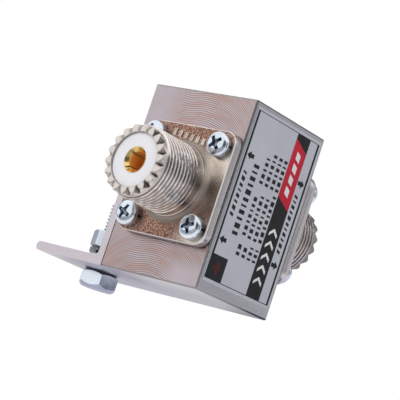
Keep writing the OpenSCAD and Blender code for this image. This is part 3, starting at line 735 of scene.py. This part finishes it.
# the bolt is one ring surface: dished end face, hexagon coned at both ends, washer face, shank, thread, tip
angle, hexSide = hexRing(bolt["headTurn"])
headHigh, shank = bolt["headHigh"], bolt["shank"]
rings = [*bolt["dish"]] + [(coned(hexSide, bolt["lowCone"], z), z) for z in np.linspace(0.03, 1.0, 22)]
rings += [(hexSide, 1.5), (hexSide, 2.6)]
rings += [(coned(hexSide, bolt["highCone"], headHigh - z), z) for z in np.linspace(2.9, headHigh, 16)]
rings += [(bolt["washer"] + 0.04, headHigh), (bolt["washer"], headHigh + 0.06), (bolt["washer"], bolt["washerFace"])]
rings += [(shank, bolt["washerFace"]), (shank, 6.4)]
shades = [np.zeros_like(angle)] * len(rings)
for z in np.linspace(bolt["threadFrom"] - 0.3, bolt["end"] - 0.04, bolt["threadRings"]):
    fade = easeStep(bolt["threadFrom"] - 0.2, bolt["threadFrom"] + 0.6, z)
    wave = threadWave(z / bolt["pitch"] - angle / (2 * pi), bolt["crest"], bolt["root"])
    # painted shade over the thread, darkest in the root
    shades.append((0.6 + 0.4 * wave) * fade)
    rings.append((np.minimum(shank - wave * bolt["depth"] * fade, shank - 0.5 + bolt["end"] - z), z))
rings += [(1.9, bolt["end"]), (0.0, bolt["end"])]
shades += [np.zeros_like(angle)] * 2
boltGrid = stackRings(rings, angle)
surfacePiece("groundBoltThreaded", [(boltGrid, False, True)], zinc["material"], "arrestor",
    ["ground_bolt"], sharp=30, shade=np.stack(shades))

# the nut is a closed ring: hexagon coned at both ends, countersunk mouths and a plain bore
angle, hexSide = hexRing(nut["turn"])
coneSteps = np.linspace(0.03, 0.60, 14)
rings = [(nut["mouth"], nut["low"]), (nut["face"], nut["low"])]
rings += [(coned(hexSide, nut["cone"], z), nut["low"] + z) for z in coneSteps]
rings += [(hexSide, nut["low"] + nut["side"]), (hexSide, nut["high"] - nut["side"])]
rings += [(coned(hexSide, nut["cone"], z), nut["high"] - z) for z in coneSteps[::-1]]
rings += [(nut["face"], nut["high"]), (nut["mouth"], nut["high"])]
rings += [(nut["bore"], nut["high"] - nut["mouthDeep"]), (nut["bore"], nut["low"] + nut["mouthDeep"])]
surfacePiece("groundNutHex", [(stackRings(rings, angle), True, True)], zinc["material"], "nut",
    ["ground_nut"], sharp=30)

# the split washer is a rounded bar carried along one turn of a helix, its ends drawn together on the middle line
halfGap = np.degrees(spring["gap"] / 2 / spring["outer"])
turnPart = np.concatenate([[0, 0], np.linspace(0, 1, spring["steps"]), [1, 1]])
endShrink = np.concatenate([[0, spring["endShare"]], np.ones(spring["steps"]), [spring["endShare"], 0]])
path = radians(spring["split"] + halfGap) + turnPart * radians(360 - 2 * halfGap)
barTurn = fullTurn(spring["barPoints"]) + pi / spring["barPoints"]
halfWide, halfThick = (spring["outer"] - spring["inner"]) / 2, spring["thick"] / 2
barX, barZ = (np.sign(wave) * np.abs(wave) ** spring["barPower"] for wave in (np.cos(barTurn), np.sin(barTurn)))
radius = (spring["outer"] + spring["inner"]) / 2 + endShrink[:, None] * barX[None, :] * halfWide
along = spring["low"] + halfThick + turnPart[:, None] * spring["rise"]
along = along + endShrink[:, None] * barZ[None, :] * halfThick
washerGrid = boltPlace(radius, along, path[:, None])
surfacePiece("groundSplitWasher", [(washerGrid, False, True)], satin["material"],
    "lock_washer", ["ground_lock_washer"], sharp=40)
print("bolt, washer and nut made")


# Label print: thin fields of colour, Y from the block's front face and Z from the label's middle

label = {"face": 23.8, "ink": 0.012, "y": -11.9, "z": 24.65, "arrowNeck": 1.25, "arrowHead": 0.95, "arrowShaft": 0.45,
    "blockSizes": (1.0, 1.45, 0.75, 1.2, 0.6)}


def onLabel(points):
    return [(y + label["y"], z + label["z"]) for y, z in points]


def field(y0, y1, z0, z1, lean=0.0):
    # a four-sided field; lean slides its far edge along Z
    return onLabel([(y0, z0 + lean), (y1, z0), (y1, z1), (y0, z1 + lean)])


def arrow(y0, y1, z, way):
    # shaft and head along Y, way is the sign of the pointing direction
    tip, tail = (y0, y1) if way < 0 else (y1, y0)
    neck, head, shaft = tip - way * label["arrowNeck"], label["arrowHead"], label["arrowShaft"]
    pairs = [(tail, -shaft), (neck, -shaft), (neck, -head), (tip, 0), (neck, head), (neck, shaft), (tail, shaft)]
    return onLabel([(y, z + s) for y, s in pairs])


def blockRow(y0, y1, spans, width, gap, lean=0.0):
    # each span is filled with blocks of a few widths, so it reads as a line of print with no letters in it
    fields = []
    for z0, z1 in spans:
        count = max(1, round((z1 - z0 + gap) / (width + gap)))
        sizes = np.resize(label["blockSizes"], count)
        sizes = sizes * (z1 - z0 - gap * (count - 1)) / sizes.sum()
        starts = z0 + np.concatenate([[0], np.cumsum(sizes[:-1] + gap)])
        fields += [field(y0, y1, start, start + size, lean) for start, size in zip(starts, sizes)]
    return fields


solidFields = ((1.12, 1.76, -17.6, 19.05), (23.50, 24.14, -17.6, 19.05), (1.7, 23.52, 18.9, 19.05),
    (1.7, 23.52, -17.6, -17.44), (15.95, 20.75, -17.44, 18.9), (1.7, 6.8, -17.44, -12.3))
ratingRows = {8.6: [(-10.6, -8.2), (-6.2, 2.2), (5.2, 10.8)], 10.65: [(-10.6, -8.4), (-6.4, 3.0), (5.2, 12.2)],
    12.65: [(-10.6, -7.8), (-6.4, 3.0), (5.2, 12.2)], 14.5: [(-10.6, -7.8), (-6.2, 4.2), (5.2, 12.2)]}
blackFields = [field(*corners) for corners in solidFields]  # border, band and square
blackFields += [arrow(1.95, 4.35, z, -1) for z in (9.5, -8.95)] + [arrow(20.95, 23.3, z, 1) for z in (9.4, -9.1)]
blackFields += blockRow(2.55, 3.75, [(-3.8, 5.9)], 0.68, 0.62, 0.30)
blackFields += blockRow(5.15, 7.05, [(-7.0, 8.4)], 0.80, 0.72)
for start, spans in ratingRows.items():
    blackFields += blockRow(start - 0.12, start + 1.08, spans, 0.70, 0.62)
blackFields += blockRow(21.35, 22.55, [(-6.5, 6.6)], 0.68, 0.62, 0.30)
redFields = [field(15.97, 20.73, 2.6, 15.6, 2.2)]
chevron = ((16.9, 0), (18.35, 1.15), (19.8, 0), (19.8, 0.75), (18.35, 1.9), (16.9, 0.75))
paleFields = [onLabel([(y, z + lift) for y, z in chevron]) for lift in (-14.6, -11.9, -9.2, -6.5, -3.8)]
paleFields += [field(17.6, 19.1, 5.2 + 2.6 * i, 6.9 + 2.6 * i, 0.7) for i in range(4)]
dimFields = [onLabel([(2.95, -14.9), (4.2, -16.5), (5.45, -14.9), (4.2, -13.3)])]
layers = (("labelBlackPrint", blackFields, "blackInk", 1.0), ("labelRedPrint", redFields, "redInk", 1.5),
    ("labelPalePrint", paleFields, "paleInk", 2.0), ("labelDimPrint", dimFields, "dimRedInk", 1.5))
for name, fields, ink, coats in layers:
    top = label["face"] + label["ink"] * coats
    prismPiece(name, fields, label["face"], top, 0, inks[ink], "silver_label", "arrestor")
print("label printed")


# Camera, at the photograph's place: turned round Z, tipped, then rolled about its own line of sight

view = {"azimuth": 40.84929, "elevation": -7.80720, "roll": 18.48835, "aside": 3.40512, "above": -3.16222,
    "distance": 394.43367, "focal": 1883.41715, "pixels": 400.0, "sensor": 36.0, "offset": (11.6, -11.9, 24.65)}
azimuth, elevation, roll = (radians(view[key]) for key in ("azimuth", "elevation", "roll"))
back = Vector((sin(azimuth) * cos(elevation), -cos(azimuth) * cos(elevation), sin(elevation)))
right = Vector((cos(azimuth), sin(azimuth), 0.0))
upward = back.cross(right)
camRight, camUp = cos(roll) * right + sin(roll) * upward, -sin(roll) * right + cos(roll) * upward
eye = (view["aside"] * camRight + view["above"] * camUp + view["distance"] * back + Vector(view["offset"])) * mm
lens = bpy.data.cameras.new("photoCamera")
lens.sensor_width = view["sensor"]
lens.lens = view["sensor"] * view["focal"] / view["pixels"]
lens.clip_start = 0.01
camera = addObject("photoCamera", lens)
camera.matrix_world = Matrix.Translation(eye) @ Matrix((camRight, camUp, back)).transposed().to_4x4()
bpy.context.scene.camera = camera


# Studio: white world, one-sided pale floor, dark cards that only reflections see, and soft lamps

studio = {"skyFill": 0.55, "floorSize": 1.2, "floorDrop": -0.0002, "floorFade": (0.18, 0.5),
    "floorTone": (0.86, 0.86, 0.87), "front": (0.40, 0.40, 0.42), "middle": (1.0, 0.98, 0.97),
    "middleAt": (-0.046, -0.030), "back": (0.75, 0.73, 0.785), "backAt": (-0.004, 0.008),
    "centre": (0.0, 0.0, 0.025), "cardDistance": 0.62,
    "patches": (((-0.0146, 0.0009, 0), (0.013, 0.008), (0.50, 0.46, 0.56)),  # painted shadow under the bolt head, seen in reflections
        ((-0.029, 0.032, 0), (0.018, 0.004), (0.52, 0.57, 0.68)),  # seen in the block's bottom, left
        ((0.034, 0.018, 0), (0.015, 0.010), (0.08, 0.14, 0.26)),  # seen in the bolt head
        ((0.016, 0.026, 0), (0.013, 0.008), (0.28, 0.26, 0.25)))}  # painted shadow under the back socket, seen in reflections
world = bpy.data.worlds.new("studioWorld")
bpy.context.scene.world = world
world.use_nodes = True
tree = world.node_tree
rays = addNode(tree, "LightPath").outputs
seen = larger(tree, rays["Is Camera Ray"], rays["Is Glossy Ray"])
seen = larger(tree, seen, rays["Is Transmission Ray"])
sky = tree.nodes["Background"].inputs
feed(tree, sky["Color"], (1, 1, 1, 1))
feed(tree, sky["Strength"], timesPlus(tree, seen, 1 - studio["skyFill"], studio["skyFill"]))


def stageSheet(name, grid, material):
    mesh = bpy.data.meshes.new(name)
    faces = gridFaces(grid.shape[0], grid.shape[1], False, False)
    mesh.from_pydata(grid.reshape(-1, 3).tolist(), [], faces.tolist())
    mesh.materials.append(material)
    sheet = addObject(name, mesh)


def stagePaint(name):
    # an empty material, its node tree and the input for its surface
    paint = bpy.data.materials.new(name)
    paint.use_nodes = True
    tree = paint.node_tree
    tree.nodes.remove(tree.nodes["Principled BSDF"])
    return paint, tree, tree.nodes["Material Output"].inputs["Surface"]


def lit(tree, kind, colour=None):
    node = addNode(tree, kind)
    if colour is not None:
        feed(tree, node.inputs["Color"], colour)
    return node.outputs[0]


def mixShaders(tree, share, first, second):
    node = addNode(tree, "MixShader")
    for entry, value in zip(node.inputs, (share, first, second)):
        feed(tree, entry, value)
    return node.outputs[0]


floorPaint, tree, surface = stagePaint("paleFloor")
spot = addNode(tree, "TexCoord").outputs["Object"]
floorY = axesOf(tree, spot)[1]
floorGlow = blend(tree, spread(tree, floorY, *studio["middleAt"]), studio["front"], studio["middle"])
floorGlow = blend(tree, spread(tree, floorY, *studio["backAt"]), floorGlow, studio["back"])
for place, edges, tone in studio["patches"]:
    away = addNode(tree, "VectorMath", operation="DISTANCE")
    feed(tree, away.inputs[0], spot)
    feed(tree, away.inputs[1], place)
    floorGlow = blend(tree, spread(tree, away.outputs["Value"], *edges), floorGlow, tone)
mirrored = addNode(tree, "LightPath").outputs["Is Glossy Ray"]  # the metal sees other tones than the camera
floorSeen = mixShaders(tree, mirrored, lit(tree, "BsdfDiffuse", (*studio["floorTone"], 1)),
    lit(tree, "Emission", floorGlow))
farOut = addNode(tree, "VectorMath", operation="LENGTH")
feed(tree, farOut.inputs[0], spot)
underneath = addNode(tree, "NewGeometry").outputs["Backfacing"]
hidden = larger(tree, underneath, spread(tree, farOut.outputs["Value"], *studio["floorFade"]))
feed(tree, surface, mixShaders(tree, hidden, floorSeen, lit(tree, "BsdfTransparent")))
floorLine = np.linspace(-0.5, 0.5, 3) * studio["floorSize"]
floorGrid = np.stack(np.meshgrid(floorLine, floorLine, [studio["floorDrop"]], indexing="ij"), axis=-1)[:, :, 0]
stageSheet("studioFloor", floorGrid, floorPaint)


def studioCard(name, turnFrom, turnTo, riseFrom, riseTo, tone):
    # a patch of a sphere about the object, clear to all but reflections: turn is counted from the front, -Y,
    # towards +X, and rise from the floor, in degrees
    paint, tree, surface = stagePaint(name)
    mirrored = addNode(tree, "LightPath").outputs["Is Glossy Ray"]
    glow = lit(tree, "Emission", (*tone, 1))
    feed(tree, surface, mixShaders(tree, mirrored, lit(tree, "BsdfTransparent"), glow))
    turns, rises = np.radians(np.linspace(turnFrom, turnTo, 17)), np.radians(np.linspace(riseFrom, riseTo, 9))
    turn, rise = np.meshgrid(turns, rises, indexing="ij")
    ray = np.stack([np.sin(turn) * np.cos(rise), -np.cos(turn) * np.cos(rise), np.sin(rise)], axis=-1)
    stageSheet(name, studio["cardDistance"] * ray + np.array(studio["centre"]), paint)


studioCard("cardCamera", 10, 78, -30, 34, (0.11, 0.11, 0.115))  # dim room round the camera
studioCard("cardSide", 92, 124, -12, 30, (0.18, 0.19, 0.21))
studioCard("cardRight", 124, 160, -12, 30, (0.57, 0.57, 0.59))
studioCard("cardBack", 165, 215, 4, 26, (0.10, 0.10, 0.11))
studioCard("cardBackHigh", 158, 228, 26, 66, (0.24, 0.23, 0.23))
studioCard("cardLeft", 235, 285, -8, 24, (0.42, 0.42, 0.44))

lamps = {"keyLamp": {"at": (-0.20, -0.42, 0.36), "size": 0.22, "power": 0.75},
    "fillLamp": {"at": (0.42, -0.20, 0.22), "size": 0.26, "power": 0.55},
    "backLamp": {"at": (0.10, 0.40, 0.42), "size": 0.40, "power": 0.12}}
target = Vector((0.004, -0.002, 0.022))
for name, values in lamps.items():
    lampData = bpy.data.lights.new(name, "AREA")
    lampData.size = values["size"]
    lampData.energy = values["power"]
    lamp = addObject(name, lampData)
    lamp.location = values["at"]
    lamp.visible_glossy = False  # bare metal mirrors the world, floor and cards, so no face burns out
    lamp.rotation_euler = (target - Vector(values["at"])).to_track_quat("-Z", "Y").to_euler()
print("studio set")
